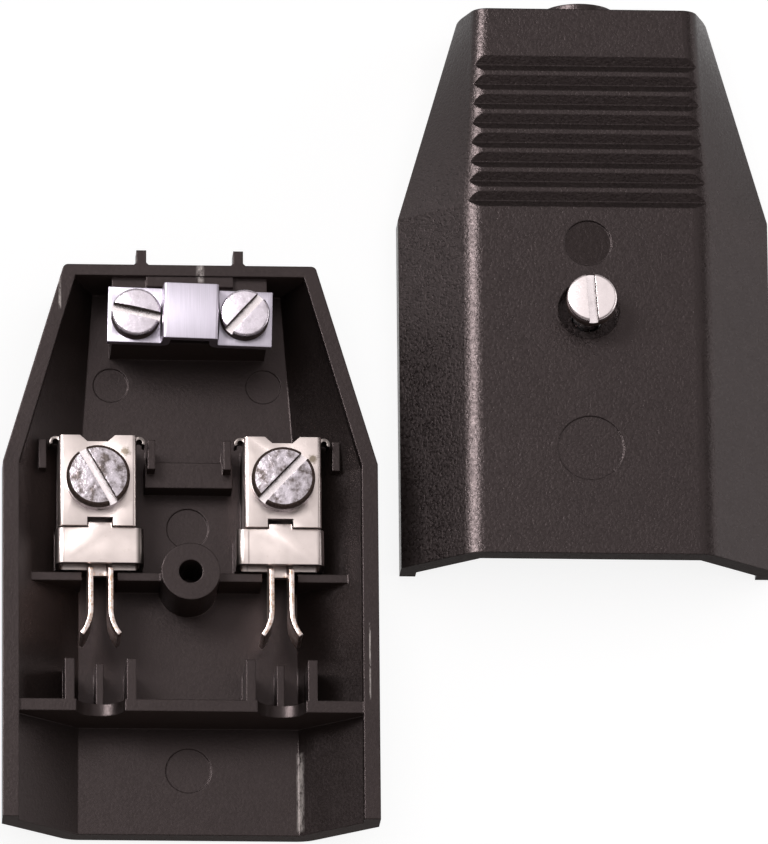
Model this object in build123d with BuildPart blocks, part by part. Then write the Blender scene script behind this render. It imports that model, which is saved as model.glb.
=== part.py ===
from build123d import *
import math
import os

# Two-pole flat cable coupler, opened, with its base and its cover side by side on a table.
# All sizes are in millimetres.
#
# Each half has a frame of its own: x runs across the coupler, y from the plug mouth to the
# cable end, and z is the depth below the half's outer face. The base lies on its outer face,
# and the cover is turned over and lies on its rim.

# Outer form of a half
shell_length = 60.5
parallel_length = 38.7
rim_half_width = 19.75
tip_half_width = 13.3
half_depth = 9.4
side_height = 3.1
tip_side_height = 4.9
flat_half_mouth = 12.5
flat_half_shoulder = 12.3
flat_half_tip = 11.6
flat_round = 3.0
tip_flat_round = 1.8
tip_round = 0.6

# Walls
floor_wall = 2.3
side_wall = 1.7
end_wall = 1.2
wall_top_gap = 0.4

# Grip grooves across the outer face
groove_count = 8
groove_pitch = 2.17
groove_start = 38.3
groove_depth = 0.42
groove_land = 0.45
groove_steep_width = 0.75

# Plug mouth: partition, notches for the pins and guide ribs behind them
pin_spacing = 19.0
pin_notch_radius = 2.6
partition_place = 11.6
partition_wall = 1.3
guide_length = 4.4
guide_wall = 1.0
guide_spread = 3.25
pin_rest_wall = 0.8

# Closing screw and its bosses
closing_place = 26.9
closing_boss_radius = 3.1
closing_pilot_radius = 1.25
closing_pilot_depth = 7.4
closing_hole_radius = 1.7
closing_sink_radius = 3.25
closing_sink_depth = 2.5
closing_sink_wall = 1.1
closing_screw_length = 12.0
closing_head_radius = 2.65
closing_head_height = 2.0

# Low ribs and marks on the floor of the base
cross_rib_wall = 0.9
cross_rib_height = 6.7
cross_rib_notch = 3.8
barrier_place = 37.2
barrier_length = 2.8
barrier_half_width = 4.6
barrier_height = 5.0
ejector_mark_depth = 0.15
mouth_mark_place = 7.0
mouth_mark_radius = 2.4
middle_mark_place = 33.5
middle_mark_radius = 2.2
tip_mark_from_tip = 11.2
tip_mark_spread = 8.1
tip_mark_radius = 1.85
ear_post_wall = 0.8
ear_post_length = 3.2
ear_post_height = 6.9
ear_post_gap = 0.35

# Marks on the outer face of the cover
seal_mark_place = 34.3
seal_mark_radius = 2.5
seal_mark_depth = 0.25
gate_mark_place = 11.6
gate_mark_radius = 3.5
gate_mark_depth = 0.12

# Cable end
cord_bore_radius = 3.0
collar_radius = 4.0
collar_length = 2.5
cord_ledge_height = 9.2
cord_channel_half = 2.0
cord_channel_height = 8.0
tab_inner = 4.6
tab_width = 1.05
tab_length = 1.6
tab_depth = 2.5
tab_root = 0.25

# Cord clamp, its seat and its screws
clamp_length = 17.4
clamp_width = 6.1
clamp_thickness = 0.9
clamp_from_tip = 5.75
clamp_turn = -1.5
clamp_seat_height = 8.6
clamp_seat_inset = 0.5
clamp_ledge_gap = 0.35
clamp_bridge_half = 2.93
clamp_bridge_rise = 2.2
clamp_bend_run = 0.1
clamp_bend_round = 0.6
clamp_screw_spread = 5.75
clamp_screw_length = 6.0
clamp_head_radius = 2.6
clamp_head_height = 1.9
clamp_hole_gap = 0.25

# Screws
small_shank_radius = 1.5
terminal_shank_radius = 1.75
thread_gap = 0.05
slot_width = 0.95
slot_depth = 1.0

# Contacts: terminal saddle, collar and fork, seated on a platform above the sloping floor
collar_seat_height = 4.7
sheet = 0.6
collar_sheet = 0.5
saddle_width = 8.2
saddle_shift = 0.25
saddle_length = 9.9
saddle_place = 32.0
saddle_top = 8.5
saddle_round = 0.5
entry_notch_width = 3.7
entry_notch_depth = 0.7
entry_notch_slant = 42
tongue_slot_width = 2.7
tongue_slot_length = 0.9
ear_reach = 0.9
ear_back = 0.65
ear_sheet = 0.3
ear_lift = 0.8
contact_screw_place = 4.95
terminal_head_radius = 3.35
terminal_head_height = 2.0
contact_gap = 0.1
collar_width = 9.3
contact_collar_length = 3.9
contact_collar_top = 8.1
collar_bend = 0.9
tine_sheet = 0.5
tine_spread = 2.1
tine_tip_place = 19.65
tine_bend_place = 22.4
tine_flare = 0.95
tine_root_top = 7.2
tine_top = 10.2
tine_rise_place = 27.8
tine_rise_run = 0.95
fork_root_place = 27.2

# Layout on the table
half_spacing = 42.3
cover_shift = 29.2
overlap = 0.5

pin_places = (-pin_spacing / 2, pin_spacing / 2)
saddle_places = (pin_places[0] - saddle_shift, pin_places[1] + saddle_shift)
wall_top = half_depth - wall_top_gap
clamp_place = shell_length - clamp_from_tip
saddle_seat_height = collar_seat_height + collar_sheet
base_mouth = -(cover_shift + shell_length + collar_length) / 2
cover_mouth = base_mouth + cover_shift
base = Plane(origin=(-half_spacing / 2, base_mouth, 0))
cover = Plane(origin=(half_spacing / 2, cover_mouth, half_depth), x_dir=(-1, 0, 0), z_dir=(0, 0, -1))


def across(half, y):
    """Upright plane across a half, with x sideways and y as the depth; it faces the mouth"""
    return Plane(origin=half.from_local_coords((0, y, 0)), x_dir=half.x_dir, z_dir=-half.y_dir)


def lengthwise(half, x):
    """Upright plane along a half, with x towards the cable end and y as the depth"""
    return Plane(origin=half.from_local_coords((x, 0, 0)), x_dir=half.y_dir, z_dir=half.x_dir)


def outer_sections():
    """Place, flat and rim half-widths, knee depth and rounding of the outer form's three sections"""
    knee = half_depth - side_height
    return (
        (0, flat_half_mouth, rim_half_width, knee, flat_round),
        (parallel_length, flat_half_shoulder, rim_half_width, knee, flat_round),
        (shell_length, flat_half_tip, tip_half_width, half_depth - tip_side_height, tip_flat_round),
    )


def inner_section(place, flat_half, rim_half, knee, side):
    """Inner face of one section, a floor wall inside the bevel and a side wall inside the rim"""
    slope = math.atan2(knee, rim_half - flat_half)
    floor_half = flat_half - floor_wall * math.tan(slope / 2)
    inner_knee = floor_wall + (rim_half - side - floor_half) * math.tan(slope)
    return place, floor_half, rim_half - side, inner_knee


def outer_form(half):
    """Solid outer form of a half: a straight stretch, then the taper to the cable end"""
    with BuildPart() as form:
        for place, flat_half, rim_half, knee, rounding in outer_sections():
            with BuildSketch(across(half, place)) as section:
                with BuildLine():
                    Polyline(
                        (-rim_half, half_depth), (-rim_half, knee), (-flat_half, 0),
                        (flat_half, 0), (rim_half, knee), (rim_half, half_depth), close=True,
                    )
                make_face()
                fillet(section.vertices().group_by(Axis.Y)[0], radius=rounding)
        loft(ruled=True)
        with BuildSketch(half) as outline:
            with BuildLine():
                Polyline(
                    (-rim_half_width, 0), (-rim_half_width, parallel_length),
                    (-tip_half_width, shell_length), (tip_half_width, shell_length),
                    (rim_half_width, parallel_length), (rim_half_width, 0), close=True,
                )
            make_face()
            fillet(outline.vertices().group_by(Axis.Y)[-1], radius=tip_round)
        extrude(amount=half_depth, mode=Mode.INTERSECT)
    return form.part


def inner_core(half):
    """Space inside a half, with the partition and the ribs behind it left standing in it"""
    mouth, shoulder, tip = outer_sections()
    tip_place = shell_length - end_wall
    sections = (
        inner_section(-overlap, *mouth[1:4], side_wall),
        inner_section(parallel_length, *shoulder[1:4], side_wall),
        inner_section(tip_place, *tip[1:4], end_wall),
    )
    with BuildPart() as core:
        for place, floor_half, rim_half, knee in sections:
            with BuildSketch(across(half, place)):
                with BuildLine():
                    Polyline(
                        (-rim_half, half_depth + overlap), (-rim_half, knee), (-floor_half, floor_wall),
                        (floor_half, floor_wall), (rim_half, knee), (rim_half, half_depth + overlap),
                        close=True,
                    )
                make_face()
        loft(ruled=True)
        with BuildSketch(half):
            with Locations((0, partition_place + partition_wall / 2)):
                Rectangle(2 * rim_half_width, partition_wall)
            for pin in pin_places:
                with Locations((pin, partition_place + partition_wall)):
                    with Locations((-guide_spread, 0), (guide_spread, 0)):
                        Rectangle(guide_wall, guide_length, align=(Align.CENTER, Align.MIN))
        extrude(amount=wall_top, mode=Mode.SUBTRACT)
        with BuildSketch(half):
            with Locations(*[(pin, partition_place + partition_wall) for pin in pin_places]):
                Rectangle(pin_rest_wall, guide_length, align=(Align.CENTER, Align.MIN))
        extrude(amount=half_depth - pin_notch_radius, mode=Mode.SUBTRACT)
    return core.part


def grip_grooves(half):
    """Eight slanting grooves across the outer face, with a steep wall on their mouth side"""
    with BuildPart() as grooves:
        with BuildSketch(lengthwise(half, 0)):
            for index in range(groove_count):
                start = groove_start + index * groove_pitch
                end = start + groove_pitch - groove_land
                with BuildLine():
                    Polyline(
                        (start, -overlap), (start, 0), (start + groove_steep_width, groove_depth),
                        (end, 0), (end, -overlap), close=True,
                    )
                make_face()
        extrude(amount=rim_half_width, both=True)
    return grooves.part


def pin_notches(half):
    """Round notches in the partition, one for each plug pin, on the parting plane"""
    with BuildPart() as notches:
        with BuildSketch(across(half, partition_place - overlap)):
            with Locations(*[(pin, half_depth) for pin in pin_places]):
                Circle(pin_notch_radius)
        extrude(amount=-(partition_wall + 2 * overlap))
    return notches.part


def slotted_screw(seat, head_radius, head_height, shank_radius, shank_length, slot_turn):
    """Screw with a slotted cheese head, its head seated on the plane given"""
    axis = Axis(seat.origin, seat.z_dir)
    with BuildPart() as screw:
        with BuildSketch(Plane(origin=seat.origin, x_dir=seat.x_dir, z_dir=-seat.y_dir)):
            with BuildLine():
                Polyline(
                    (0, head_height), (head_radius, head_height), (head_radius, 0), (shank_radius, 0),
                    (shank_radius, -shank_length), (0, -shank_length), close=True,
                )
            make_face()
        revolve(axis=axis)
        with BuildSketch(seat.offset(head_height)):
            Rectangle(slot_width, 2 * head_radius + overlap, rotation=slot_turn)
        extrude(amount=-slot_depth, mode=Mode.SUBTRACT)
    return screw.part


def terminal_saddle(x, pin):
    """Inverted channel of bent sheet over the wire, with a hooked ear on each side of its entry"""
    bottom = saddle_seat_height
    entry = saddle_place + saddle_length
    with BuildPart() as saddle:
        with BuildSketch(across(base, saddle_place)) as section:
            with Locations((x, bottom)):
                Rectangle(saddle_width, saddle_top - bottom, align=(Align.CENTER, Align.MIN))
            fillet(section.vertices().group_by(Axis.Y)[-1], radius=saddle_round)
            with Locations((x, bottom)):
                Rectangle(
                    saddle_width - 2 * sheet, saddle_top - sheet - bottom,
                    align=(Align.CENTER, Align.MIN), mode=Mode.SUBTRACT,
                )
        extrude(amount=-saddle_length)
        leg = (saddle_width - ear_sheet) / 2
        crest = entry - ear_sheet / 2
        with BuildSketch(base.offset(bottom + ear_lift)):
            for side in (-1, 1):
                with BuildLine():
                    ThreePointArc(
                        (x + side * leg, crest - ear_back / 2),
                        (x + side * (leg + ear_reach / 3), crest),
                        (x + side * (leg + ear_reach), crest - ear_back),
                    )
                trace(line_width=ear_sheet)
        extrude(amount=saddle_top - sheet - bottom - ear_lift)
        with BuildSketch(base.offset(saddle_top)):
            with Locations((x, entry)):
                Trapezoid(
                    entry_notch_width, entry_notch_depth, entry_notch_slant,
                    align=(Align.CENTER, Align.MIN), rotation=180,
                )
            with Locations((pin, saddle_place)):
                Rectangle(tongue_slot_width, tongue_slot_length, align=(Align.CENTER, Align.MIN))
            with Locations((x, saddle_place + contact_screw_place)):
                Circle(terminal_shank_radius + thread_gap)
        extrude(amount=-2 * sheet, mode=Mode.SUBTRACT)
    return saddle.part


def contact_collar(x):
    """Band of sheet wrapped round the fork's root, with a tongue that enters the saddle's slot"""
    start = saddle_place - contact_gap - contact_collar_length
    height = contact_collar_top - collar_seat_height
    with BuildPart() as band:
        with BuildSketch(across(base, start)) as section:
            with Locations((x, collar_seat_height)):
                Rectangle(collar_width, height, align=(Align.CENTER, Align.MIN))
            fillet(section.vertices(), radius=collar_bend)
            offset(amount=-collar_sheet, mode=Mode.SUBTRACT)
        extrude(amount=-contact_collar_length)
        with BuildSketch(base.offset(contact_collar_top - collar_sheet)):
            with Locations((x, start + contact_collar_length - overlap)):
                Rectangle(
                    tongue_slot_width - 2 * contact_gap, overlap + contact_gap + tongue_slot_length / 2,
                    align=(Align.CENTER, Align.MIN),
                )
        extrude(amount=collar_sheet)
    return band.part


def contact_fork(x, saddle_x):
    """Strip under the saddle that runs into two upright tines, flared to take the pin"""
    bottom = saddle_seat_height
    strip_half = saddle_width / 2 - sheet - contact_gap
    strip_start = saddle_place + contact_gap
    tine_x = tine_spread / 2
    with BuildPart() as fork:
        with BuildSketch(base.offset(bottom)):
            with Locations((saddle_x, strip_start)):
                Rectangle(2 * strip_half, saddle_length - 2 * contact_gap, align=(Align.CENTER, Align.MIN))
            with Locations((x, fork_root_place)):
                Rectangle(
                    tine_spread + tine_sheet, strip_start - fork_root_place + overlap,
                    align=(Align.CENTER, Align.MIN),
                )
        extrude(amount=sheet)
        with BuildSketch(base.offset(bottom)):
            for side in (-1, 1):
                with BuildLine():
                    blade = Line((x + side * tine_x, saddle_place - 1), (x + side * tine_x, tine_bend_place))
                    TangentArc(
                        blade @ 1, (x + side * (tine_x + tine_flare), tine_tip_place), tangent=blade % 1,
                    )
                trace(line_width=tine_sheet)
        extrude(amount=tine_top - bottom)
        with BuildSketch(lengthwise(base, x)):
            with BuildLine():
                Polyline(
                    (saddle_place, tine_root_top), (tine_rise_place, tine_root_top),
                    (tine_rise_place - tine_rise_run, tine_top),
                    (tine_rise_place - tine_rise_run, tine_top + overlap),
                    (saddle_place, tine_top + overlap), close=True,
                )
            make_face()
        extrude(amount=saddle_width, both=True, mode=Mode.SUBTRACT)
    return fork.part


# Base half
with BuildPart() as base_core:
    add(inner_core(base))
    tip_inside = shell_length - end_wall
    with BuildSketch(base):
        with Locations((0, closing_place)):
            Circle(closing_boss_radius)
    extrude(amount=wall_top, mode=Mode.SUBTRACT)
    with BuildSketch(base):
        with Locations((0, closing_place)):
            Rectangle(2 * rim_half_width, cross_rib_wall)
        with Locations(*[(pin, closing_place) for pin in pin_places]):
            Rectangle(cross_rib_notch, cross_rib_wall, mode=Mode.SUBTRACT)
    extrude(amount=cross_rib_height, mode=Mode.SUBTRACT)
    with BuildSketch(base):
        with Locations((0, barrier_place)):
            Rectangle(2 * barrier_half_width, barrier_length, align=(Align.CENTER, Align.MIN))
    extrude(amount=barrier_height, mode=Mode.SUBTRACT)
    with BuildSketch(base):
        with Locations(*[(x, saddle_place) for x in saddle_places]):
            Rectangle(saddle_width, saddle_length, align=(Align.CENTER, Align.MIN))
    extrude(amount=saddle_seat_height, mode=Mode.SUBTRACT)
    with BuildSketch(base):
        with Locations(*[(pin, saddle_place) for pin in pin_places]):
            Rectangle(collar_width, contact_collar_length, align=(Align.CENTER, Align.MAX))
    extrude(amount=collar_seat_height, mode=Mode.SUBTRACT)
    with BuildSketch(base):
        for x in saddle_places:
            for side in (-1, 1):
                post_x = x + side * (saddle_width / 2 + ear_reach + ear_post_gap + ear_post_wall / 2)
                with Locations((post_x, saddle_place + saddle_length - ear_post_length / 2)):
                    Rectangle(ear_post_wall, ear_post_length)
    extrude(amount=ear_post_height, mode=Mode.SUBTRACT)
    with BuildSketch(base):
        with Locations((0, tip_inside + overlap)):
            Rectangle(
                clamp_length - 2 * clamp_seat_inset,
                tip_inside + overlap - clamp_place + clamp_width / 2 - clamp_seat_inset,
                align=(Align.CENTER, Align.MAX),
            )
    extrude(amount=clamp_seat_height, mode=Mode.SUBTRACT)
    clamp_edge = clamp_place + clamp_width / 2
    with BuildSketch(base):
        with Locations((0, clamp_edge + clamp_ledge_gap)):
            Rectangle(2 * tab_inner, shell_length - clamp_edge, align=(Align.CENTER, Align.MIN))
    extrude(amount=cord_ledge_height, mode=Mode.SUBTRACT)

with BuildPart() as base_shell:
    add(outer_form(base))
    add(base_core.part, mode=Mode.SUBTRACT)
    add(grip_grooves(base), mode=Mode.SUBTRACT)
    add(pin_notches(base), mode=Mode.SUBTRACT)
    with BuildSketch(base.offset(cord_channel_height)):
        with Locations((0, clamp_place)):
            Rectangle(2 * cord_channel_half, clamp_width)
    extrude(amount=half_depth, mode=Mode.SUBTRACT)
    with BuildSketch(base.offset(wall_top)):
        with Locations((0, closing_place)):
            Circle(closing_pilot_radius)
    extrude(amount=-closing_pilot_depth, mode=Mode.SUBTRACT)
    with BuildSketch(base.offset(clamp_seat_height)):
        with Locations((-clamp_screw_spread, clamp_place), (clamp_screw_spread, clamp_place)):
            Circle(small_shank_radius + thread_gap)
    extrude(amount=-(clamp_screw_length - clamp_thickness + overlap), mode=Mode.SUBTRACT)
    with BuildSketch(base.offset(floor_wall)):
        with Locations((0, mouth_mark_place)):
            Circle(mouth_mark_radius)
        with Locations((0, middle_mark_place)):
            Circle(middle_mark_radius)
        tip_mark_place = shell_length - tip_mark_from_tip
        with Locations((-tip_mark_spread, tip_mark_place), (tip_mark_spread, tip_mark_place)):
            Circle(tip_mark_radius)
    extrude(amount=-ejector_mark_depth, mode=Mode.SUBTRACT)
    tab_outer = tab_inner + tab_width
    with BuildSketch(base.offset(half_depth - tab_depth)):
        for side in (-1, 1):
            with BuildLine():
                Polyline(
                    (side * (tab_inner - tab_root), shell_length - overlap),
                    (side * (tab_inner - tab_root), shell_length),
                    (side * tab_inner, shell_length + tab_root),
                    (side * tab_inner, shell_length + tab_length),
                    (side * tab_outer, shell_length + tab_length),
                    (side * tab_outer, shell_length + tab_root),
                    (side * (tab_outer + tab_root), shell_length),
                    (side * (tab_outer + tab_root), shell_length - overlap),
                    close=True,
                )
            make_face()
    extrude(amount=tab_depth)
base_shell.part.label = "base_shell"

# Cover half
with BuildPart() as cover_core:
    add(inner_core(cover))
    with BuildSketch(cover):
        with Locations((0, closing_place)):
            Circle(closing_boss_radius)
    extrude(amount=wall_top, mode=Mode.SUBTRACT)
    with BuildSketch(cover):
        with Locations((0, closing_place)):
            Circle(closing_sink_radius + closing_sink_wall)
    extrude(amount=closing_sink_depth + closing_sink_wall, mode=Mode.SUBTRACT)

with BuildPart() as cover_shell:
    add(outer_form(cover))
    add(cover_core.part, mode=Mode.SUBTRACT)
    add(grip_grooves(cover), mode=Mode.SUBTRACT)
    add(pin_notches(cover), mode=Mode.SUBTRACT)
    with BuildSketch(across(cover, shell_length - overlap)):
        with Locations((0, half_depth)):
            Circle(collar_radius)
            Rectangle(
                2 * collar_radius, collar_radius, align=(Align.CENTER, Align.MAX), mode=Mode.INTERSECT,
            )
    extrude(amount=-(collar_length + overlap))
    with BuildSketch(across(cover, shell_length - 2 * end_wall)):
        with Locations((0, half_depth)):
            Circle(cord_bore_radius)
    extrude(amount=-(2 * end_wall + collar_length + overlap), mode=Mode.SUBTRACT)
    with BuildSketch(cover):
        with Locations((0, closing_place)):
            Circle(closing_sink_radius)
    extrude(amount=closing_sink_depth, mode=Mode.SUBTRACT)
    with BuildSketch(cover):
        with Locations((0, closing_place)):
            Circle(closing_hole_radius)
    extrude(amount=half_depth, mode=Mode.SUBTRACT)
    with BuildSketch(cover):
        with Locations((0, seal_mark_place)):
            Circle(seal_mark_radius)
    extrude(amount=seal_mark_depth, mode=Mode.SUBTRACT)
    with BuildSketch(cover):
        with Locations((0, gate_mark_place)):
            Circle(gate_mark_radius)
    extrude(amount=gate_mark_depth, mode=Mode.SUBTRACT)
cover_shell.part.label = "cover_shell"

# Cord clamp: a strip bridged over the cord, turned a little on its two screws
clamp_plane = Plane(
    origin=base.from_local_coords((0, clamp_place, clamp_seat_height)),
    x_dir=(math.cos(math.radians(clamp_turn)), math.sin(math.radians(clamp_turn)), 0),
)
with BuildPart() as cord_clamp:
    middle = clamp_thickness / 2
    bridge_x = clamp_bridge_half - middle
    with BuildSketch(Plane(clamp_plane.origin, x_dir=clamp_plane.x_dir, z_dir=-clamp_plane.y_dir)):
        with BuildLine():
            FilletPolyline(
                (-clamp_length / 2, middle),
                (-bridge_x - clamp_bend_run, middle),
                (-bridge_x, middle + clamp_bridge_rise),
                (bridge_x, middle + clamp_bridge_rise),
                (bridge_x + clamp_bend_run, middle),
                (clamp_length / 2, middle),
                radius=clamp_bend_round,
            )
        trace(line_width=clamp_thickness)
    extrude(amount=clamp_width / 2, both=True)
    with BuildSketch(clamp_plane):
        with Locations((-clamp_screw_spread, 0), (clamp_screw_spread, 0)):
            Circle(small_shank_radius + clamp_hole_gap)
    extrude(amount=clamp_thickness, mode=Mode.SUBTRACT)
cord_clamp.part.label = "cord_clamp"

# Screws, each seated under its head
table = half_depth
cover_screw = slotted_screw(
    Plane(cover.from_local_coords((0, closing_place, table - closing_screw_length))),
    closing_head_radius, closing_head_height, small_shank_radius, closing_screw_length, 4,
)
pieces = {"base_shell": base_shell.part, "cover_shell": cover_shell.part}
pieces["cover_screw"] = cover_screw
pieces["cord_clamp"] = cord_clamp.part
for name, side, turn in (("left", -1, 78), ("right", 1, -42)):
    seat = base.from_local_coords(
        (side * clamp_screw_spread, clamp_place, clamp_seat_height + clamp_thickness)
    )
    pieces["clamp_screw_" + name] = slotted_screw(
        Plane(seat), clamp_head_radius, clamp_head_height, small_shank_radius, clamp_screw_length, turn,
    )
for name, pin, x, turn in zip(("left", "right"), pin_places, saddle_places, (30, -43)):
    seat = base.from_local_coords((x, saddle_place + contact_screw_place, saddle_top))
    tip = saddle_seat_height + sheet + contact_gap
    pieces["terminal_" + name] = terminal_saddle(x, pin)
    pieces["terminal_screw_" + name] = slotted_screw(
        Plane(seat), terminal_head_radius, terminal_head_height, terminal_shank_radius,
        saddle_top - tip, turn,
    )
    pieces["contact_collar_" + name] = contact_collar(pin)
    pieces["contact_fork_" + name] = contact_fork(pin, x)

os.makedirs("parts", exist_ok=True)
for name, piece in pieces.items():
    piece.label = name
    export_step(piece, "parts/" + name + ".step")
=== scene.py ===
"""Opened cable coupler: the finishes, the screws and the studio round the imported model."""

import math

import bmesh
import bpy
from bpy.props import FloatProperty, FloatVectorProperty, PointerProperty
from mathutils import Matrix, Vector


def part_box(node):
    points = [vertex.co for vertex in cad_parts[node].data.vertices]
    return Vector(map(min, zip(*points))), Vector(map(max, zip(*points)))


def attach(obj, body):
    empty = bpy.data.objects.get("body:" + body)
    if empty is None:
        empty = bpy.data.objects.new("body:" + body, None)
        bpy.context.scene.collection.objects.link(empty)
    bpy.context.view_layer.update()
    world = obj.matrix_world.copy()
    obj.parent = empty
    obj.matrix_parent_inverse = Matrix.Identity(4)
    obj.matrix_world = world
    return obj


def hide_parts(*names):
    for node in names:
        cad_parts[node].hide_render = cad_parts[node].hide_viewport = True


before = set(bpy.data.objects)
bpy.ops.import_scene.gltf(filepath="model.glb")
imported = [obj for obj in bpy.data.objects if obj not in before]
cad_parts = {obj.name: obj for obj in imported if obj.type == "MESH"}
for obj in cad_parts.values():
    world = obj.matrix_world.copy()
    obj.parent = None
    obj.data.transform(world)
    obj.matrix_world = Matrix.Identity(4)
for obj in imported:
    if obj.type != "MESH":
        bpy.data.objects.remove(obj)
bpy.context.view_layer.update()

bl_info = {
    "name": "Cable Coupler",
    "version": (1, 0, 0),
    "blender": (4, 5, 0),
    "location": "View3D > Sidebar > Coupler",
    "description": "Dresses the halves, the contacts, the clamp and the screws of an opened cable coupler",
    "category": "Add Mesh",
}

MM = 0.001
BODY = "root"
SIDES = ("left", "right")

# Places of the painted shade and of a slot's floor, painted lighter as a painted highlight, among a
# screw's materials
PAINTED_SHADE = 1
LIT_FLOOR = 2

# Places on the table in millimetres: the middle of a half and of its contacts, across the
# coupler, the start of the tines along it, and the height of the terminals' plates
HALF_PLACE = 21.15
CONTACT_PLACE = 9.75
TINE_START = -18.3
TERMINAL_TOP = 8.5

# Painted highlights and a worn line on the base, along its length: across, from, to and half width, in
# millimetres. The first three are painted highlights, on the cable groove's floor, at the mouth's inner
# right knee and along the right wall; the last is a worn line on the left rim
SCUFFS_AND_HIGHLIGHTS = (
    (-20.05, 12.4, 16.9, 0.5),
    (-9.4, -45.8, -37.0, 0.45),
    (-2.4, -33.2, -24.7, 0.11),
    (-34.9, 9.3, 12.9, 0.18),
)

# Dark spots on the terminals: across and along the coupler, in millimetres
TERMINAL_DARK_SPOTS = ((-28.0, -6.0), (-8.2, -6.6))

# Painted shade along fold lines on the collars, given as the lines on the base are
FOLDS = ((-34.5, -18.2, -14.2, 0.13), (-15.0, -18.2, -14.2, 0.13))

# Depth of the grain on each half as a share, its IOR, dullness and sparkle, and its shade
BASE_RELIEF, COVER_RELIEF = 0.3, 0.85
BASE_GLOSS, COVER_GLOSS = (1.39, 0.15, 0.08), (1.43, 0.08, 0.17)
BASE_SHADE, COVER_SHADE = 1.5, 1.0

# Colours of wear, dirt, stains and dark spots, of painted shade and of painted highlights
SCUFF_AND_HIGHLIGHT = (0.62, 0.57, 0.54)
RUB_AND_GLINT = (0.30, 0.27, 0.26)
TARNISH = (0.38, 0.31, 0.25)
DARK_EAR = (0.075, 0.063, 0.058)
FOLD_SHADE = (0.16, 0.13, 0.12)
COPPER_BLUSH = (0.33, 0.19, 0.11)
DARK_SPOT = (0.12, 0.09, 0.05)
DULL_ZINC = (0.085, 0.066, 0.06)
SLOT_SHADE = (0.022, 0.014, 0.012)
SLOT_SHADE_SPECKS = (0.07, 0.05, 0.044)

# Light of the room, and the strength and share of the table's own white where it is looked at
ROOM_COLOUR = (1.0, 0.93, 0.93)
TABLE_COLOUR = (0.93, 0.93, 0.93)
TABLE_GLOW = 1.2
TABLE_SHARE = 0.72

# Kind of each screw, and the turn of its slot in degrees from the coupler's length
SCREWS = {
    "cover_screw": ("closing", 4),
    "clamp_screw_left": ("clamp", 78),
    "clamp_screw_right": ("clamp", -42),
    "terminal_screw_left": ("terminal", 30),
    "terminal_screw_right": ("terminal", -43),
}

# Tint, share of stains and depth of the dents in each kind of screw's steel, and in a slot's floor, which
# is painted lighter as a painted highlight
STEELS = {
    "terminal": ((0.70, 0.70, 0.765), 0.95, 0.1 * MM),
    "clamp": ((0.84, 0.84, 0.93), 0.4, 0.06 * MM),
    "closing": ((0.94, 0.93, 0.94), 0.15, 0.02 * MM),
    "bare": ((1.0, 1.0, 1.02), 0.1, 0.03 * MM),
}

# Painted shade on each kind of head, besides the walls of its slot: a ring, from and to, outward from the
# start of its rounded edge (none where both are the same), and the part of its side, as shares of the
# side's height
HEAD_SHADE = {
    "closing": (-0.05 * MM, -0.05 * MM, 0.0, 0.7),
    "clamp": (-0.05 * MM, -0.05 * MM, 0.0, 1.0),
    "terminal": (-0.02 * MM, 0.5 * MM, 0.7, 1.0),
}


class Value:
    """A number's socket, so that shader maths reads as a Python expression."""

    def __init__(self, finish, socket):
        self.finish = finish
        self.socket = socket

    def maths(self, operation, first, second):
        socket = self.finish.node("ShaderNodeMath", {0: first, 1: second}, operation=operation)
        return Value(self.finish, socket)

    def __add__(self, other):
        return self.maths("ADD", self, other)

    def __radd__(self, other):
        return self.maths("ADD", other, self)

    def __sub__(self, other):
        return self.maths("SUBTRACT", self, other)

    def __rsub__(self, other):
        return self.maths("SUBTRACT", other, self)

    def __mul__(self, other):
        return self.maths("MULTIPLY", self, other)

    def __rmul__(self, other):
        return self.maths("MULTIPLY", other, self)

    def size(self):
        """The value without its sign."""
        return self.maths("ABSOLUTE", self, 0.0)

    def between(self, low, high):
        """Mask that runs from 0 where the value is low to 1 where it is high."""
        inputs = {"Value": self, "From Min": low, "From Max": high}
        return Value(self.finish, self.finish.node("ShaderNodeMapRange", inputs, clamp=True))


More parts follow.
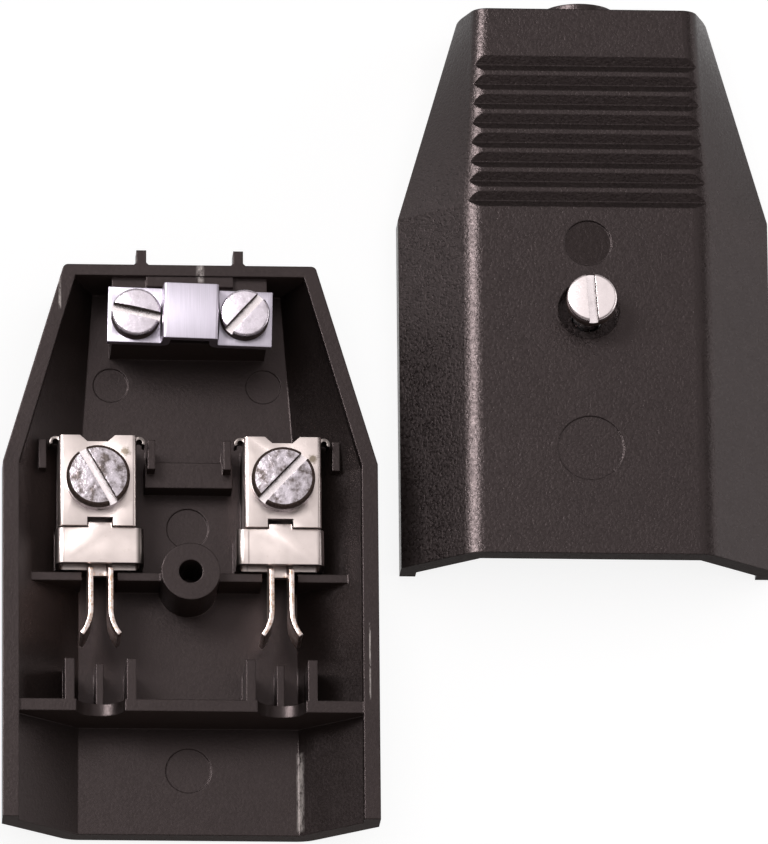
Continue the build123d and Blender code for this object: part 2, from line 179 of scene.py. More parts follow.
class Finish:
    """One node material, built up from its textures to its shader."""

    def __init__(self, name):
        self.material = bpy.data.materials.new(name)
        self.material.use_nodes = True
        self.tree = self.material.node_tree
        self.tree.nodes.clear()
        self.place = self.node("ShaderNodeTexCoord", out="Object")

    def node(self, kind, inputs=None, out=0, **settings):
        """Adds a node, its settings first, then the values or links of its sockets."""
        made = self.tree.nodes.new(kind)
        for name, value in settings.items():
            setattr(made, name, value)
        for name, value in (inputs or {}).items():
            value = value.socket if isinstance(value, Value) else value
            if isinstance(value, bpy.types.NodeSocket):
                self.tree.links.new(value, made.inputs[name])
            else:
                made.inputs[name].default_value = value
        return made.outputs[out] if made.outputs else None

    def noise(self, size, detail=2.0, roughness=0.5, stretch=(1, 1, 1)):
        """Noise whose blotches are about size metres across, longer where stretch is above 1."""
        scale = tuple(1 / (size * factor) for factor in stretch)
        place = self.node("ShaderNodeMapping", {"Vector": self.place, "Scale": scale})
        inputs = {"Vector": place, "Scale": 1.0, "Detail": detail, "Roughness": roughness}
        return Value(self, self.node("ShaderNodeTexNoise", inputs))

    def mix(self, factor, first, second):
        """Mixes two colours."""
        return self.node("ShaderNodeMix", {0: factor, 6: first, 7: second}, out=2, data_type="RGBA")

    def rounded(self, radius):
        """The surface normal, as if every edge had a small radius."""
        return self.node("ShaderNodeBevel", {"Radius": radius}, samples=6)

    def edge(self, rounded):
        """Mask that is 1 along the edges and 0 on the faces."""
        face = self.node("ShaderNodeNewGeometry", out="Normal")
        inputs = {0: rounded, 1: face}
        match = self.node("ShaderNodeVectorMath", inputs, out="Value", operation="DOT_PRODUCT")
        return (1 - Value(self, match)).between(0.01, 0.2)

    def bump(self, height, depth, normal=None):
        """Bump whose height from 0 to 1 stands for depth metres."""
        inputs = {"Height": height, "Distance": depth, "Strength": 1.0}
        if normal is not None:
            inputs["Normal"] = normal
        return self.node("ShaderNodeBump", inputs)

    def part(self, vector, axis):
        """One part of a vector."""
        return Value(self, self.node("ShaderNodeSeparateXYZ", {"Vector": vector}, out=axis))

    def distance(self, point):
        """How far the surface is from a point."""
        inputs = {0: self.place, 1: point}
        return Value(self, self.node("ShaderNodeVectorMath", inputs, out="Value", operation="DISTANCE"))

    def streak(self, across, low, high, half_width):
        """Mask of a thin line along the coupler, its sizes in millimetres."""
        x, y = (self.part(self.place, axis) for axis in "XY")
        inside = (x - across * MM).size().between(half_width * MM, half_width * MM / 3)
        soft = 0.4 * MM
        return inside * (y - low * MM).between(0, soft) * (high * MM - y).between(0, soft)

    def principled(self, **inputs):
        """A Principled shader."""
        named = {name.replace("_", " "): value for name, value in inputs.items()}
        return self.node("ShaderNodeBsdfPrincipled", named)

    def close(self, shader):
        """Ends the material with the shader given."""
        self.node("ShaderNodeOutputMaterial", {"Surface": shader})
        return self.material


def tinted(colour, factor=1.0):
    """A colour times a factor, as the four numbers that a node takes."""
    return tuple(min(1.0, part * factor) for part in colour) + (1.0,)


class CouplerFinishes(bpy.types.PropertyGroup):
    """Colours and grain of the coupler's materials."""

    plastic_colour: FloatVectorProperty(
        name="Plastic", description="Colour of the moulded halves", subtype="COLOR",
        default=(0.0105, 0.0075, 0.0068), min=0.0, max=1.0,
    )
    sheen_colour: FloatVectorProperty(
        name="Sheen", description="Tint of what the moulded halves reflect", subtype="COLOR",
        default=(1.0, 0.80, 0.80), min=0.0, max=1.0,
    )
    grain_size: FloatProperty(
        name="Grain", description="Size of the spark-eroded grain on the halves", subtype="DISTANCE",
        default=0.3 * MM, min=0.05 * MM, max=1.0 * MM, precision=5,
    )
    grain_depth: FloatProperty(
        name="Grain Depth", description="Height of that grain", subtype="DISTANCE",
        default=0.075 * MM, min=0.0, max=0.2 * MM, precision=6,
    )
    moulded_edge: FloatProperty(
        name="Moulded Edge", description="Radius on the edges of the halves", subtype="DISTANCE",
        default=0.18 * MM, min=0.0, max=1.0 * MM, precision=5,
    )
    disc: FloatVectorProperty(
        name="Disc", description="Middle of the round recess on the cover", subtype="TRANSLATION",
        default=(HALF_PLACE * MM, 17.4 * MM, 9.3 * MM), precision=5,
    )
    nickel_colour: FloatVectorProperty(
        name="Nickel", description="Colour of the plated contacts", subtype="COLOR",
        default=(0.615, 0.532, 0.508), min=0.0, max=1.0,
    )
    steel_colour: FloatVectorProperty(
        name="Steel", description="Colour of the screws", subtype="COLOR",
        default=(0.80, 0.72, 0.715), min=0.0, max=1.0,
    )
    clamp_colour: FloatVectorProperty(
        name="Clamp", description="Colour of the cord clamp", subtype="COLOR",
        default=(0.50, 0.458, 0.525), min=0.0, max=1.0,
    )
    clamp_turn: FloatProperty(
        name="Clamp Turn", description="Turn of the cord clamp on its screws", subtype="ANGLE",
        default=math.radians(-1.5),
    )
    bridge_half: FloatProperty(
        name="Bridge Half", description="From the middle of the clamp's bridge to its side",
        subtype="DISTANCE", default=2.91 * MM, min=1 * MM, max=5 * MM, precision=5,
    )
    bend_radius: FloatProperty(
        name="Bend", description="Radius outside the upper bends of the packed clamp", subtype="DISTANCE",
        default=1.05 * MM, min=0.5 * MM, max=2 * MM, precision=5,
    )
    crisp_radius: FloatProperty(
        name="Crisp Bend", description="Radius that those bends are drawn in to", subtype="DISTANCE",
        default=0.32 * MM, min=0.1 * MM, max=2 * MM, precision=5,
    )
    stamped_edge: FloatProperty(
        name="Stamped Edge", description="Radius on the edges of the stamped pieces", subtype="DISTANCE",
        default=0.07 * MM, min=0.0, max=0.3 * MM, precision=5,
    )


class CouplerScrews(bpy.types.PropertyGroup):
    """Sizes that the screws share, and the heights of their heads."""

    closing_head: FloatProperty(
        name="Closing Head", description="Height of the closing screw's head", subtype="DISTANCE",
        default=2.0 * MM, min=0.5 * MM, max=5 * MM, precision=5,
    )
    clamp_head: FloatProperty(
        name="Clamp Head", description="Height of a clamp screw's head", subtype="DISTANCE",
        default=1.9 * MM, min=0.5 * MM, max=5 * MM, precision=5,
    )
    terminal_head: FloatProperty(
        name="Terminal Head", description="Height of a terminal screw's head", subtype="DISTANCE",
        default=2.0 * MM, min=0.5 * MM, max=5 * MM, precision=5,
    )
    closing_shank: FloatProperty(
        name="Closing Shank", description="Thread radius of the closing screw", subtype="DISTANCE",
        default=1.5 * MM, min=0.5 * MM, max=3 * MM, precision=5,
    )
    clamp_shank: FloatProperty(
        name="Clamp Shank", description="Thread radius of a clamp screw", subtype="DISTANCE",
        default=1.5 * MM, min=0.5 * MM, max=3 * MM, precision=5,
    )
    terminal_shank: FloatProperty(
        name="Terminal Shank", description="Thread radius of a terminal screw", subtype="DISTANCE",
        default=1.75 * MM, min=0.5 * MM, max=3 * MM, precision=5,
    )
    pitch: FloatProperty(
        name="Pitch", description="Pitch of every thread", subtype="DISTANCE",
        default=0.5 * MM, min=0.2 * MM, max=1 * MM, precision=5,
    )
    thread_depth: FloatProperty(
        name="Thread Depth", description="Depth of every thread", subtype="DISTANCE",
        default=0.27 * MM, min=0.05 * MM, max=0.5 * MM, precision=5,
    )
    slot_width: FloatProperty(
        name="Slot Width", description="Width of every slot", subtype="DISTANCE",
        default=0.95 * MM, min=0.2 * MM, max=2 * MM, precision=5,
    )
    slot_depth: FloatProperty(
        name="Slot Depth", description="Depth of every slot", subtype="DISTANCE",
        default=1.0 * MM, min=0.2 * MM, max=2 * MM, precision=5,
    )
    crown: FloatProperty(
        name="Crown", description="Rise of a head's top towards its middle", subtype="DISTANCE",
        default=0.14 * MM, min=0.0, max=1 * MM, precision=5,
    )
    head_edge: FloatProperty(
        name="Head Edge", description="Rounding of a head's upper edge", subtype="DISTANCE",
        default=0.32 * MM, min=0.0, max=1 * MM, precision=5,
    )
    foot: FloatProperty(
        name="Foot", description="Where a head's side is parted, as a share of its height",
        subtype="FACTOR", default=0.7, min=0.0, max=1.0,
    )
    lip: FloatProperty(
        name="Lip", description="Rounding of a slot's edges", subtype="DISTANCE",
        default=0.09 * MM, min=0.0, max=0.3 * MM, precision=5,
    )


class CouplerStage(bpy.types.PropertyGroup):
    """Where the camera and the lamps stand."""

    azimuth: FloatProperty(
        name="Azimuth", description="Turn of the camera round the coupler", subtype="ANGLE",
        default=math.radians(-12.476),
    )
    elevation: FloatProperty(
        name="Elevation", description="Height of the camera above the table", subtype="ANGLE",
        default=math.radians(72.464),
    )
    roll: FloatProperty(
        name="Roll", description="Turn of the camera about its own line of sight", subtype="ANGLE",
        default=math.radians(12.536),
    )
    distance: FloatProperty(
        name="Distance", description="From the camera to the middle of the coupler", subtype="DISTANCE",
        default=1.3, min=0.1, max=5.0,
    )
    lens: FloatProperty(
        name="Lens", description="Focal length of the camera", subtype="DISTANCE_CAMERA", default=521.85,
    )
    aim: FloatVectorProperty(
        name="Aim", description="Point that the camera looks at", subtype="TRANSLATION",
        default=(-0.0705 * MM, 0.1876 * MM, 0.0), precision=6,
    )
    top_power: FloatProperty(
        name="Top Light", description="Power of the wide lamp overhead", unit="POWER", default=13.0,
    )
    key_power: FloatProperty(
        name="Key Light", description="Power of the lamp at the upper left", unit="POWER", default=7.5,
    )
    side_power: FloatProperty(
        name="Side Light", description="Power of the low lamp at the right", unit="POWER", default=0.85,
    )
    back_power: FloatProperty(
        name="Back Light", description="Power of the low lamp behind the left side", unit="POWER",
        default=0.4,
    )
    sky: FloatProperty(
        name="Sky", description="Strength of the light from all round", subtype="FACTOR",
        default=0.24, min=0.0, max=1.0,
    )


def piece_from(bm, name, materials, node):
    """Turns a bmesh into a finished piece that stands for a node."""
    bmesh.ops.recalc_face_normals(bm, faces=bm.faces)
    mesh = bpy.data.meshes.new(name)
    bm.to_mesh(mesh)
    bm.free()
    for material in materials:
        mesh.materials.append(material)
    mesh.shade_smooth()
    mesh.set_sharp_from_angle(angle=math.radians(35))
    piece = bpy.data.objects.new(name, mesh)
    bpy.context.scene.collection.objects.link(piece)
    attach(piece, BODY)
    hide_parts(node)
    return piece


def sharp_edges(bm, angle):
    """Edges whose two faces meet at more than the angle given."""
    return [edge for edge in bm.edges if edge.is_manifold and edge.calc_face_angle(0) > angle]


def copied(node):
    """A copy of a node's mesh, its flat faces joined."""
    bm = bmesh.new()
    bm.from_mesh(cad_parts[node].data)
    bmesh.ops.remove_doubles(bm, verts=bm.verts, dist=MM / 2000)
    bmesh.ops.dissolve_limit(
        bm, angle_limit=math.radians(0.6), use_dissolve_boundaries=False, verts=bm.verts, edges=bm.edges,
    )
    return bm


def softened(bm, radius):
    """The same mesh with its sharp edges slightly rounded."""
    bmesh.ops.bevel(
        bm, geom=sharp_edges(bm, math.radians(30)), offset=radius, segments=2, profile=0.5,
        affect="EDGES", material=-1, clamp_overlap=True,
    )
    return bm


def crisp_bends(bm, node, settings):
    """Draws the two upper bends of the clamp's bridge in to a smaller radius."""
    low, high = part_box(node)
    top = Matrix.Translation(((low.x + high.x) / 2, (low.y + high.y) / 2, high.z))
    top = top @ Matrix.Rotation(settings.clamp_turn, 4, "Z")
    bmesh.ops.transform(bm, matrix=top.inverted(), verts=bm.verts)
    radius = settings.bend_radius
    share = settings.crisp_radius / radius
    inward = 0.955
    near = MM / 20
    below = MM / 5
    for side in (-1, 1):
        corner = Vector((side * settings.bridge_half, 0.0, 0.0))
        centre = corner + Vector((-side * inward, 0.0, -1.0)) * radius
        bend = []
        for vert in bm.verts:
            away = vert.co - centre
            if abs(away.xz.length - radius) < near and side * away.x > -near and away.z > -below:
                bend.append(vert)
        bmesh.ops.scale(bm, vec=(share, 1, share), space=Matrix.Translation(-corner), verts=bend)
    bmesh.ops.transform(bm, matrix=top, verts=bm.verts)
    return bm


def head_bmesh(radius, height, shaded, sizes):
    """A crowned, slotted screw head on the plane z = 0, its slot along y, with painted shade on the walls
    of its slot and on parts of its edge and side, and its slot's floor painted lighter as a painted
    highlight.
    """
    ring_from, ring_to, side_from, side_to = shaded
    rings = 6
    edge_steps = 4
    rim = radius - sizes.head_edge
    steps = [ring / rings for ring in range(rings)] + [1 + ring_from / rim, 1.0]
    crown = [(rim * step, height - sizes.crown * step ** 2) for step in steps]
    shoulder = height - sizes.crown - sizes.head_edge
    edge = [
        (rim + sizes.head_edge * math.sin(turn), shoulder + sizes.head_edge * math.cos(turn))
        for turn in (math.radians(90 * step / edge_steps) for step in range(1, edge_steps + 1))
    ]
    foot = shoulder * sizes.foot
    profile = crown + edge + [(radius, foot), (radius, 0.0), (0.0, 0.0)]
    bm = bmesh.new()
    corners = [bm.verts.new((x, 0.0, z)) for x, z in profile]
    line = [bm.edges.new(pair) for pair in zip(corners, corners[1:])]
    bmesh.ops.spin(
        bm, geom=corners + line, cent=(0, 0, 0), axis=(0, 0, 1), angle=math.tau, steps=72, use_merge=True,
    )
    bmesh.ops.remove_doubles(bm, verts=bm.verts, dist=MM / 2000)
    floor = height - sizes.slot_depth
    half = sizes.slot_width / 2
    planes = (((-half, 0, 0), (1, 0, 0)), ((half, 0, 0), (1, 0, 0)), ((0, 0, floor), (0, 0, 1)))
    for point, normal in planes:
        whole = bm.verts[:] + bm.edges[:] + bm.faces[:]
        bmesh.ops.bisect_plane(bm, geom=whole, dist=MM / 5000, plane_co=point, plane_no=normal)
    slot = [
        face for face in bm.faces
        if abs(face.calc_center_median().x) < half and face.calc_center_median().z > floor
    ]
    bmesh.ops.delete(bm, geom=slot, context="FACES")
    close = MM / 1000
    open_verts = [vert for vert in bm.verts if vert.is_boundary]
    # Painted shade on the walls of the slot.
    for wall in (-half, half):
        along = [vert for vert in open_verts if abs(vert.co.x - wall) < close]
        for face in bmesh.ops.contextual_create(bm, geom=along)["faces"]:
            face.material_index = PAINTED_SHADE
    # The slot's floor, painted lighter as a painted highlight.
    along = [vert for vert in open_verts if abs(vert.co.z - floor) < close]
    for face in bmesh.ops.contextual_create(bm, geom=along)["faces"]:
        face.material_index = LIT_FLOOR
    # Painted shade on a ring round the head's edge and on part of its side.
    for face in bm.faces:
        middle = face.calc_center_median()
        ring = ring_from < middle.xy.length - rim < ring_to and middle.z > shoulder
        side = middle.xy.length > rim and side_from < middle.z / shoulder < side_to
        if (ring or side) and face.material_index == 0:
            face.material_index = PAINTED_SHADE
    bmesh.ops.recalc_face_normals(bm, faces=bm.faces)
    lips = [
        edge for edge in sharp_edges(bm, math.radians(40))
        if all(vert.co.z > floor + close for vert in edge.verts)
    ]
    bmesh.ops.bevel(
        bm, geom=lips, offset=sizes.lip, segments=3, profile=0.5, affect="EDGES", material=-1,
        clamp_overlap=True,
    )
    return bm


def shank_bmesh(radius, length, sizes):
    """A threaded shank that hangs below the plane z = 0 to a tapered tip."""
    bury = 0.2 * MM
    rings_per_turn = 8
    segments = 32
    whole = length + bury
    bm = bmesh.new()
    bmesh.ops.create_cone(
        bm, cap_ends=True, cap_tris=False, segments=segments, radius1=radius, radius2=radius, depth=whole,
    )
    bmesh.ops.translate(bm, verts=bm.verts, vec=(0, 0, bury - whole / 2))
    upright = [edge for edge in bm.edges if abs(edge.verts[0].co.z - edge.verts[1].co.z) > whole / 2]
    cuts = int(whole / sizes.pitch * rings_per_turn)
    bmesh.ops.subdivide_edges(bm, edges=upright, cuts=cuts, use_grid_fill=True)
    taper = radius / 2
    for vert in bm.verts:
        depth = -vert.co.z
        turn = math.atan2(vert.co.y, vert.co.x) / math.tau
        wave = abs((depth / sizes.pitch + turn) % 1.0 - 0.5) * 2
        start = min(1.0, max(0.0, depth / sizes.pitch - 0.2))
        cut = wave * start * sizes.thread_depth
        point = max(0.0, depth - (length - taper))
        reach = max(radius * 0.3, radius - cut - point)
        vert.co.x *= reach / radius
        vert.co.y *= reach / radius
    return bm


def screw_bmesh(node, head_height, shank_radius, turn, shaded, sizes):
    """A whole screw in the place of its node."""
    low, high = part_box(node)
    length = high.z - low.z - head_height
    head = head_bmesh((high.x - low.x) / 2, head_height, shaded, sizes)
    shank = shank_bmesh(shank_radius, length, sizes)
    joined = bpy.data.meshes.new(node + "_shank")
    shank.to_mesh(joined)
    shank.free()
    head.from_mesh(joined)
    bpy.data.meshes.remove(joined)
    middle = Vector(((low.x + high.x) / 2, (low.y + high.y) / 2, high.z - head_height))
    place = Matrix.Translation(middle) @ Matrix.Rotation(math.radians(turn), 4, "Z")
    bmesh.ops.transform(head, matrix=place, verts=head.verts)
    return head


def moulded_plastic(settings, name, relief, gloss, shade, scuffs_and_highlights=(), disc=None):
    """Black plastic with a fine spark-eroded grain, lighter along its edges as wear and painted highlight,
    with painted highlights and a worn line where given, and made matt and darker as painted shade where it
    faces towards -y.
    """
    finish = Finish(name)
    ior, dullness, sparkle = gloss
    colour = [part * shade for part in settings.plastic_colour]
    grain = finish.noise(settings.grain_size, detail=2.5, roughness=0.6)
    pits = finish.noise(settings.grain_size * 0.45, detail=1.0)
    cloud = finish.noise(9 * MM, detail=3.0)
    flow = finish.noise(2.2 * MM, detail=2.0)
    rounded = finish.rounded(settings.moulded_edge)
    edge = finish.edge(rounded)
    body = finish.mix(cloud.between(0.3, 0.7), tinted(colour, 0.85), tinted(colour, 1.2))
    speckled = finish.mix(grain.between(0.45, 0.75) * 0.35, body, tinted(colour, 1.8))
    # Lighter along the edges, with specks: partly wear, partly painted highlight.
    wear_and_highlights = finish.mix(edge * 0.3, speckled, tinted(colour, 2.4))
    rub_and_glint_specks = finish.noise(0.5 * MM, detail=4.0, roughness=0.7, stretch=(1, 2.5, 1))
    wear_and_highlights = finish.mix(edge * rub_and_glint_specks.between(0.6, 0.72) * 0.3, wear_and_highlights, tinted(RUB_AND_GLINT))
    facing = finish.node("ShaderNodeTexCoord", out="Normal")
    upward = finish.part(facing, "Z").between(0.1, 0.3)
    # Painted highlights, and one worn line, as thin lines on faces that look up.
    for streak_place in scuffs_and_highlights:
        scuff_and_highlight_line = finish.streak(*streak_place) * rub_and_glint_specks.between(0.36, 0.56) * upward
        wear_and_highlights = finish.mix(scuff_and_highlight_line, wear_and_highlights, tinted(SCUFF_AND_HIGHLIGHT))
    roughness = 0.14 + dullness + grain.between(0.35, 0.65) * sparkle + flow * 0.08 - edge * 0.05
    # Faces turned towards -y, such as the mouth's end faces, are made matt and darker as painted shade;
    # the cover's disc is a matt recess of its own.
    mouth_shade_and_disc = (0 - finish.part(facing, "Y")).between(0.8, 0.95) * 0.85
    if disc:
        mouth_shade_and_disc = mouth_shade_and_disc + finish.distance(disc).between(2.45 * MM, 2.3 * MM) * 0.45
    height = grain * 0.82 + pits * 0.18
    normal = finish.bump(height, settings.grain_depth * relief, rounded)
    plain = finish.principled(
        Base_Color=wear_and_highlights, Roughness=roughness, Normal=normal, IOR=ior,
        Specular_Tint=tinted(settings.sheen_colour),
    )
    matt = finish.node("ShaderNodeBsdfDiffuse", {"Color": tinted(colour, 2.5), "Normal": normal})
    return finish.close(finish.node("ShaderNodeMixShader", {0: mouth_shade_and_disc, 1: plain, 2: matt}))


def nickel_plate(settings):
    """Satin nickel on stamped brass, with rolling lines, a few tarnished spots, a copper blush at the
    tines, painted shade along the collars' folds, darker ears and dark spots.
    """
    finish = Finish("nickel_plate")
    colour = settings.nickel_colour
    rolling = finish.noise(0.12 * MM, detail=2.0, stretch=(1, 14, 1))
    cloud = finish.noise(2.4 * MM, detail=3.0)
    spots = finish.noise(0.5 * MM, detail=4.0, roughness=0.7)
    tarnish = spots.between(0.62, 0.78)
    base = finish.mix(cloud.between(0.35, 0.65), tinted(colour, 0.93), tinted(colour, 1.05))
    marked = finish.mix(tarnish * 0.5, base, tinted(TARNISH))
    # Much darker from about 4 mm across from a contact's middle, where its ears are.
    side = (finish.part(finish.place, "X") + HALF_PLACE * MM).size()
    ear = (side - CONTACT_PLACE * MM).size().between(3.95 * MM, 4.4 * MM)
    marked = finish.mix(ear * 0.85, marked, tinted(DARK_EAR))
    # Painted shade along the collars' fold lines.
    for fold in FOLDS:
        marked = finish.mix(finish.streak(*fold) * 0.6, marked, tinted(FOLD_SHADE))
    tines = (TINE_START * MM - finish.part(finish.place, "Y")).between(0, 0.4 * MM)
    marked = finish.mix(tines * spots.between(0.46, 0.6) * 0.8, marked, tinted(COPPER_BLUSH))
    # A dark spot at the same place on each terminal.
    for x, y in TERMINAL_DARK_SPOTS:
        reach = finish.distance((x * MM, y * MM, TERMINAL_TOP * MM)) + spots * (1.2 * MM)
        marked = finish.mix(reach.between(1.2 * MM, 0.9 * MM) * 0.8, marked, tinted(DARK_SPOT))
    roughness = 0.24 + cloud * 0.1 + rolling * 0.06 + tarnish * 0.12
    height = rolling * 0.35 + spots * 0.65
    return finish.close(finish.principled(
        Base_Color=marked, Metallic=1.0, Roughness=roughness, Normal=finish.bump(height, 0.006 * MM),
    ))


def zinc_steel(settings, name, tint, stain, relief):
    """Zinc-plated steel: bright where it is new, with broad grey stains where stain is high."""
    finish = Finish(name)
    colour = [part * share for part, share in zip(settings.steel_colour, tint)]
    broad = finish.noise(1.3 * MM, detail=4.0, roughness=0.6)
    fine = finish.noise(0.22 * MM, detail=2.0)
    dents = finish.noise(0.8 * MM, detail=2.0)
    marked = broad.between(0.55 - 0.17 * stain, 0.77 - 0.17 * stain)
    base = finish.mix(marked * stain, tinted(colour), tinted(DULL_ZINC))
    pitted = finish.mix(fine.between(0.6, 0.72) * 0.5 * stain, base, tinted(colour, 1.1))
    roughness = 0.22 + marked * 0.12 + fine * 0.08
    height = dents * 0.8 + fine * 0.2
    return finish.close(finish.principled(
        Base_Color=pitted, Metallic=1.0, Roughness=roughness, Normal=finish.bump(height, relief),
    ))


def slot_grime():
    """Painted shade, dark and speckled, for the walls of a slot and the edge and side of a head."""
    finish = Finish("slot_grime")
    specks = finish.noise(0.3 * MM, detail=3.0)
    colour = finish.mix(specks.between(0.35, 0.7), tinted(SLOT_SHADE), tinted(SLOT_SHADE_SPECKS))
    return finish.close(finish.principled(
        Base_Color=colour, Roughness=0.6 + specks * 0.3, Normal=finish.bump(specks, 0.03 * MM), IOR=1.3,
        Specular_Tint=tinted((1.0, 0.7, 0.6)),
    ))


def brushed_aluminium(settings):
    """Aluminium strip brushed along the coupler's length."""
    finish = Finish("brushed_aluminium")
    colour = settings.clamp_colour
    lines = finish.noise(0.07 * MM, detail=3.0, roughness=0.6, stretch=(1, 60, 8))
    broad = finish.noise(0.35 * MM, detail=1.0, stretch=(1, 30, 8))
    cloud = finish.noise(3.0 * MM, detail=2.0)
    base = finish.mix(lines.between(0.3, 0.7), tinted(colour, 0.88), tinted(colour, 1.04))
    roughness = 0.3 + lines * 0.12 + cloud * 0.06
    height = lines * 0.6 + broad * 0.4
    return finish.close(finish.principled(
        Base_Color=base, Metallic=1.0, Roughness=roughness, Normal=finish.bump(height, 0.008 * MM),
    ))


class COUPLER_OT_halves(bpy.types.Operator):
    """Give the base and the cover their moulded black plastic"""

    bl_idname = "coupler.halves"
    bl_label = "Halves"

    def execute(self, context):
        settings = context.scene.coupler_finishes
        base = moulded_plastic(
            settings, "base_plastic", BASE_RELIEF, BASE_GLOSS, BASE_SHADE, scuffs_and_highlights=SCUFFS_AND_HIGHLIGHTS,
        )
        cover = moulded_plastic(
            settings, "cover_plastic", COVER_RELIEF, COVER_GLOSS, COVER_SHADE, disc=settings.disc,
        )
        for node, plastic in (("base_shell", base), ("cover_shell", cover)):
            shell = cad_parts[node]
            shell.data.materials.clear()
            shell.data.materials.append(plastic)
        return {"FINISHED"}


class COUPLER_OT_contacts(bpy.types.Operator):
    """Make the terminals, the collars and the forks as nickel-plated stampings"""

    bl_idname = "coupler.contacts"
    bl_label = "Contacts"

    def execute(self, context):
        settings = context.scene.coupler_finishes
        materials = [nickel_plate(settings)]
        for side in SIDES:
            for kind in ("terminal", "contact_collar", "contact_fork"):
                node = f"{kind}_{side}"
                bm = softened(copied(node), settings.stamped_edge)
                piece_from(bm, f"{node}_stamping", materials, node)
        return {"FINISHED"}


class COUPLER_OT_clamp(bpy.types.Operator):
    """Make the cord clamp as a strip of brushed aluminium"""

    bl_idname = "coupler.clamp"
    bl_label = "Cord Clamp"

    def execute(self, context):
        settings = context.scene.coupler_finishes
        bm = crisp_bends(copied("cord_clamp"), "cord_clamp", settings)
        bm = softened(bm, settings.stamped_edge)
        piece_from(bm, "cord_clamp_strip", [brushed_aluminium(settings)], "cord_clamp")
        return {"FINISHED"}


class COUPLER_OT_screws(bpy.types.Operator):
    """Make the five screws, each with a slotted head and a thread"""

    bl_idname = "coupler.screws"
    bl_label = "Screws"

    def execute(self, context):
        sizes = context.scene.coupler_screws
        settings = context.scene.coupler_finishes
        steels = {kind: zinc_steel(settings, kind + "_steel", *look) for kind, look in STEELS.items()}
        shade_finish = slot_grime()
        for node, (kind, turn) in SCREWS.items():
            head_height = getattr(sizes, kind + "_head")
            shank_radius = getattr(sizes, kind + "_shank")
            bm = screw_bmesh(node, head_height, shank_radius, turn, HEAD_SHADE[kind], sizes)
            piece_from(bm, node + "_threaded", [steels[kind], shade_finish, steels["bare"]], node)
        return {"FINISHED"}


def lamp(name, power, size, place, sheen_only=False):
    """A soft lamp that looks at the middle of the table."""
    light = bpy.data.lights.new(name, "AREA")
    light.energy = power
    light.shape = "RECTANGLE"
    light.size, light.size_y = size
    holder = bpy.data.objects.new(name, light)
    holder.location = place
    holder.rotation_euler = (-Vector(place)).to_track_quat("-Z", "Y").to_euler()
    holder.visible_diffuse = not sheen_only
    bpy.context.scene.collection.objects.link(holder)


def seen_directly(finish):
    """1 for the rays that look at the stage, or at its reflection, and 0 for the rest."""
    kinds = ("Camera", "Glossy", "Transmission")
    camera, glossy, transmission = (
        Value(finish, finish.node("ShaderNodeLightPath", out=f"Is {kind} Ray")) for kind in kinds
    )
    return (camera + glossy + transmission).between(0, 1)


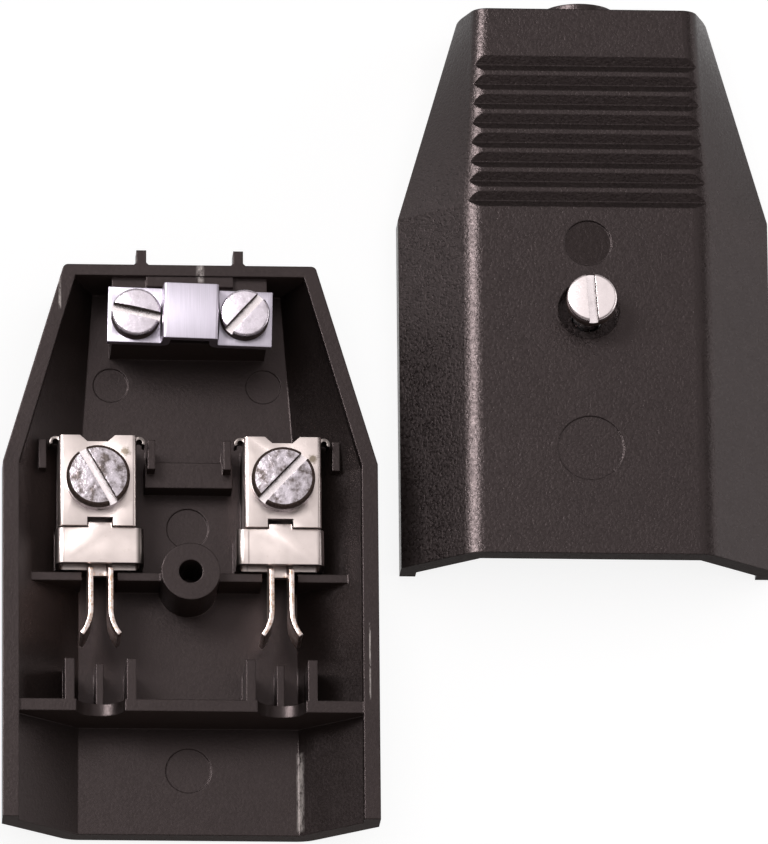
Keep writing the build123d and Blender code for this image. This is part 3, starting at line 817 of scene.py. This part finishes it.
class COUPLER_OT_stage(bpy.types.Operator):
    """Set the pale table, the soft lamps and the camera"""

    bl_idname = "coupler.stage"
    bl_label = "Stage"

    def execute(self, context):
        settings = context.scene.coupler_stage
        self.table()
        self.light(settings)
        self.camera(context, settings)
        return {"FINISHED"}

    def table(self):
        """A white table just under the coupler."""
        bm = bmesh.new()
        bmesh.ops.create_grid(bm, x_segments=1, y_segments=1, size=2.0)
        bmesh.ops.translate(bm, verts=bm.verts, vec=(0, 0, -0.02 * MM))
        mesh = bpy.data.meshes.new("table")
        bm.to_mesh(mesh)
        bm.free()
        finish = Finish("table_white")
        paper = finish.node("ShaderNodeBsdfDiffuse", {"Color": tinted(TABLE_COLOUR)})
        white = finish.node("ShaderNodeEmission", {"Color": (1.0, 1.0, 1.0, 1.0), "Strength": TABLE_GLOW})
        share = seen_directly(finish) * TABLE_SHARE
        surface = finish.node("ShaderNodeMixShader", {0: share, 1: paper, 2: white})
        mesh.materials.append(finish.close(surface))
        table = bpy.data.objects.new("table", mesh)
        bpy.context.scene.collection.objects.link(table)

    def light(self, settings):
        """The lamps and the light from all round."""
        lamp("top", settings.top_power, (2.2, 2.2), (0.1, 0.45, 1.6))
        lamp("key", settings.key_power, (0.26, 0.3), (-0.366, 0.191, 0.5), sheen_only=True)
        lamp("side", settings.side_power, (0.5, 0.3), (0.6, 0.1, 0.16))
        lamp("back", settings.back_power, (0.4, 0.2), (-0.5, 0.42, 0.12), sheen_only=True)
        world = bpy.data.worlds.new("studio")
        world.use_nodes = True
        background = world.node_tree.nodes["Background"]
        background.inputs["Color"].default_value = tinted(ROOM_COLOUR)
        background.inputs["Strength"].default_value = settings.sky
        bpy.context.scene.world = world

    def camera(self, context, settings):
        """The camera, turned about its own line of sight as the photograph was."""
        turn, rise, roll = settings.azimuth, settings.elevation, settings.roll
        back = Vector((math.sin(turn) * math.cos(rise), -math.cos(turn) * math.cos(rise), math.sin(rise)))
        level = Vector((math.cos(turn), math.sin(turn), 0.0))
        upright = back.cross(level)
        right = level * math.cos(roll) + upright * math.sin(roll)
        up = upright * math.cos(roll) - level * math.sin(roll)
        data = bpy.data.cameras.new("camera")
        data.lens = settings.lens
        data.clip_start, data.clip_end = 0.05, 10.0
        camera = bpy.data.objects.new("camera", data)
        axes = Matrix((right, up, back)).transposed().to_4x4()
        camera.matrix_world = Matrix.Translation(Vector(settings.aim) + back * settings.distance) @ axes
        context.scene.collection.objects.link(camera)
        context.scene.camera = camera
        context.scene.view_settings.view_transform = "Standard"


OPERATORS = (
    COUPLER_OT_halves, COUPLER_OT_contacts, COUPLER_OT_clamp, COUPLER_OT_screws, COUPLER_OT_stage,
)
SETTINGS = {
    "coupler_finishes": CouplerFinishes,
    "coupler_screws": CouplerScrews,
    "coupler_stage": CouplerStage,
}


class COUPLER_PT_build(bpy.types.Panel):
    """Sizes, colours and build steps of the coupler"""

    bl_label = "Cable Coupler"
    bl_idname = "COUPLER_PT_build"
    bl_space_type = "VIEW_3D"
    bl_region_type = "UI"
    bl_category = "Coupler"

    def draw(self, context):
        for operator in OPERATORS:
            self.layout.operator(operator.bl_idname)
        for name, group in SETTINGS.items():
            box = self.layout.box()
            for setting in group.__annotations__:
                box.prop(getattr(context.scene, name), setting)


def register():
    for group in (*SETTINGS.values(), *OPERATORS, COUPLER_PT_build):
        bpy.utils.register_class(group)
    for name, group in SETTINGS.items():
        setattr(bpy.types.Scene, name, PointerProperty(type=group))


def unregister():
    for name in SETTINGS:
        delattr(bpy.types.Scene, name)
    for group in (COUPLER_PT_build, *reversed(OPERATORS), *reversed(SETTINGS.values())):
        bpy.utils.unregister_class(group)


def main():
    register()
    bpy.ops.coupler.halves()
    bpy.ops.coupler.contacts()
    bpy.ops.coupler.clamp()
    bpy.ops.coupler.screws()
    bpy.ops.coupler.stage()


if __name__ == "__main__":
    main()
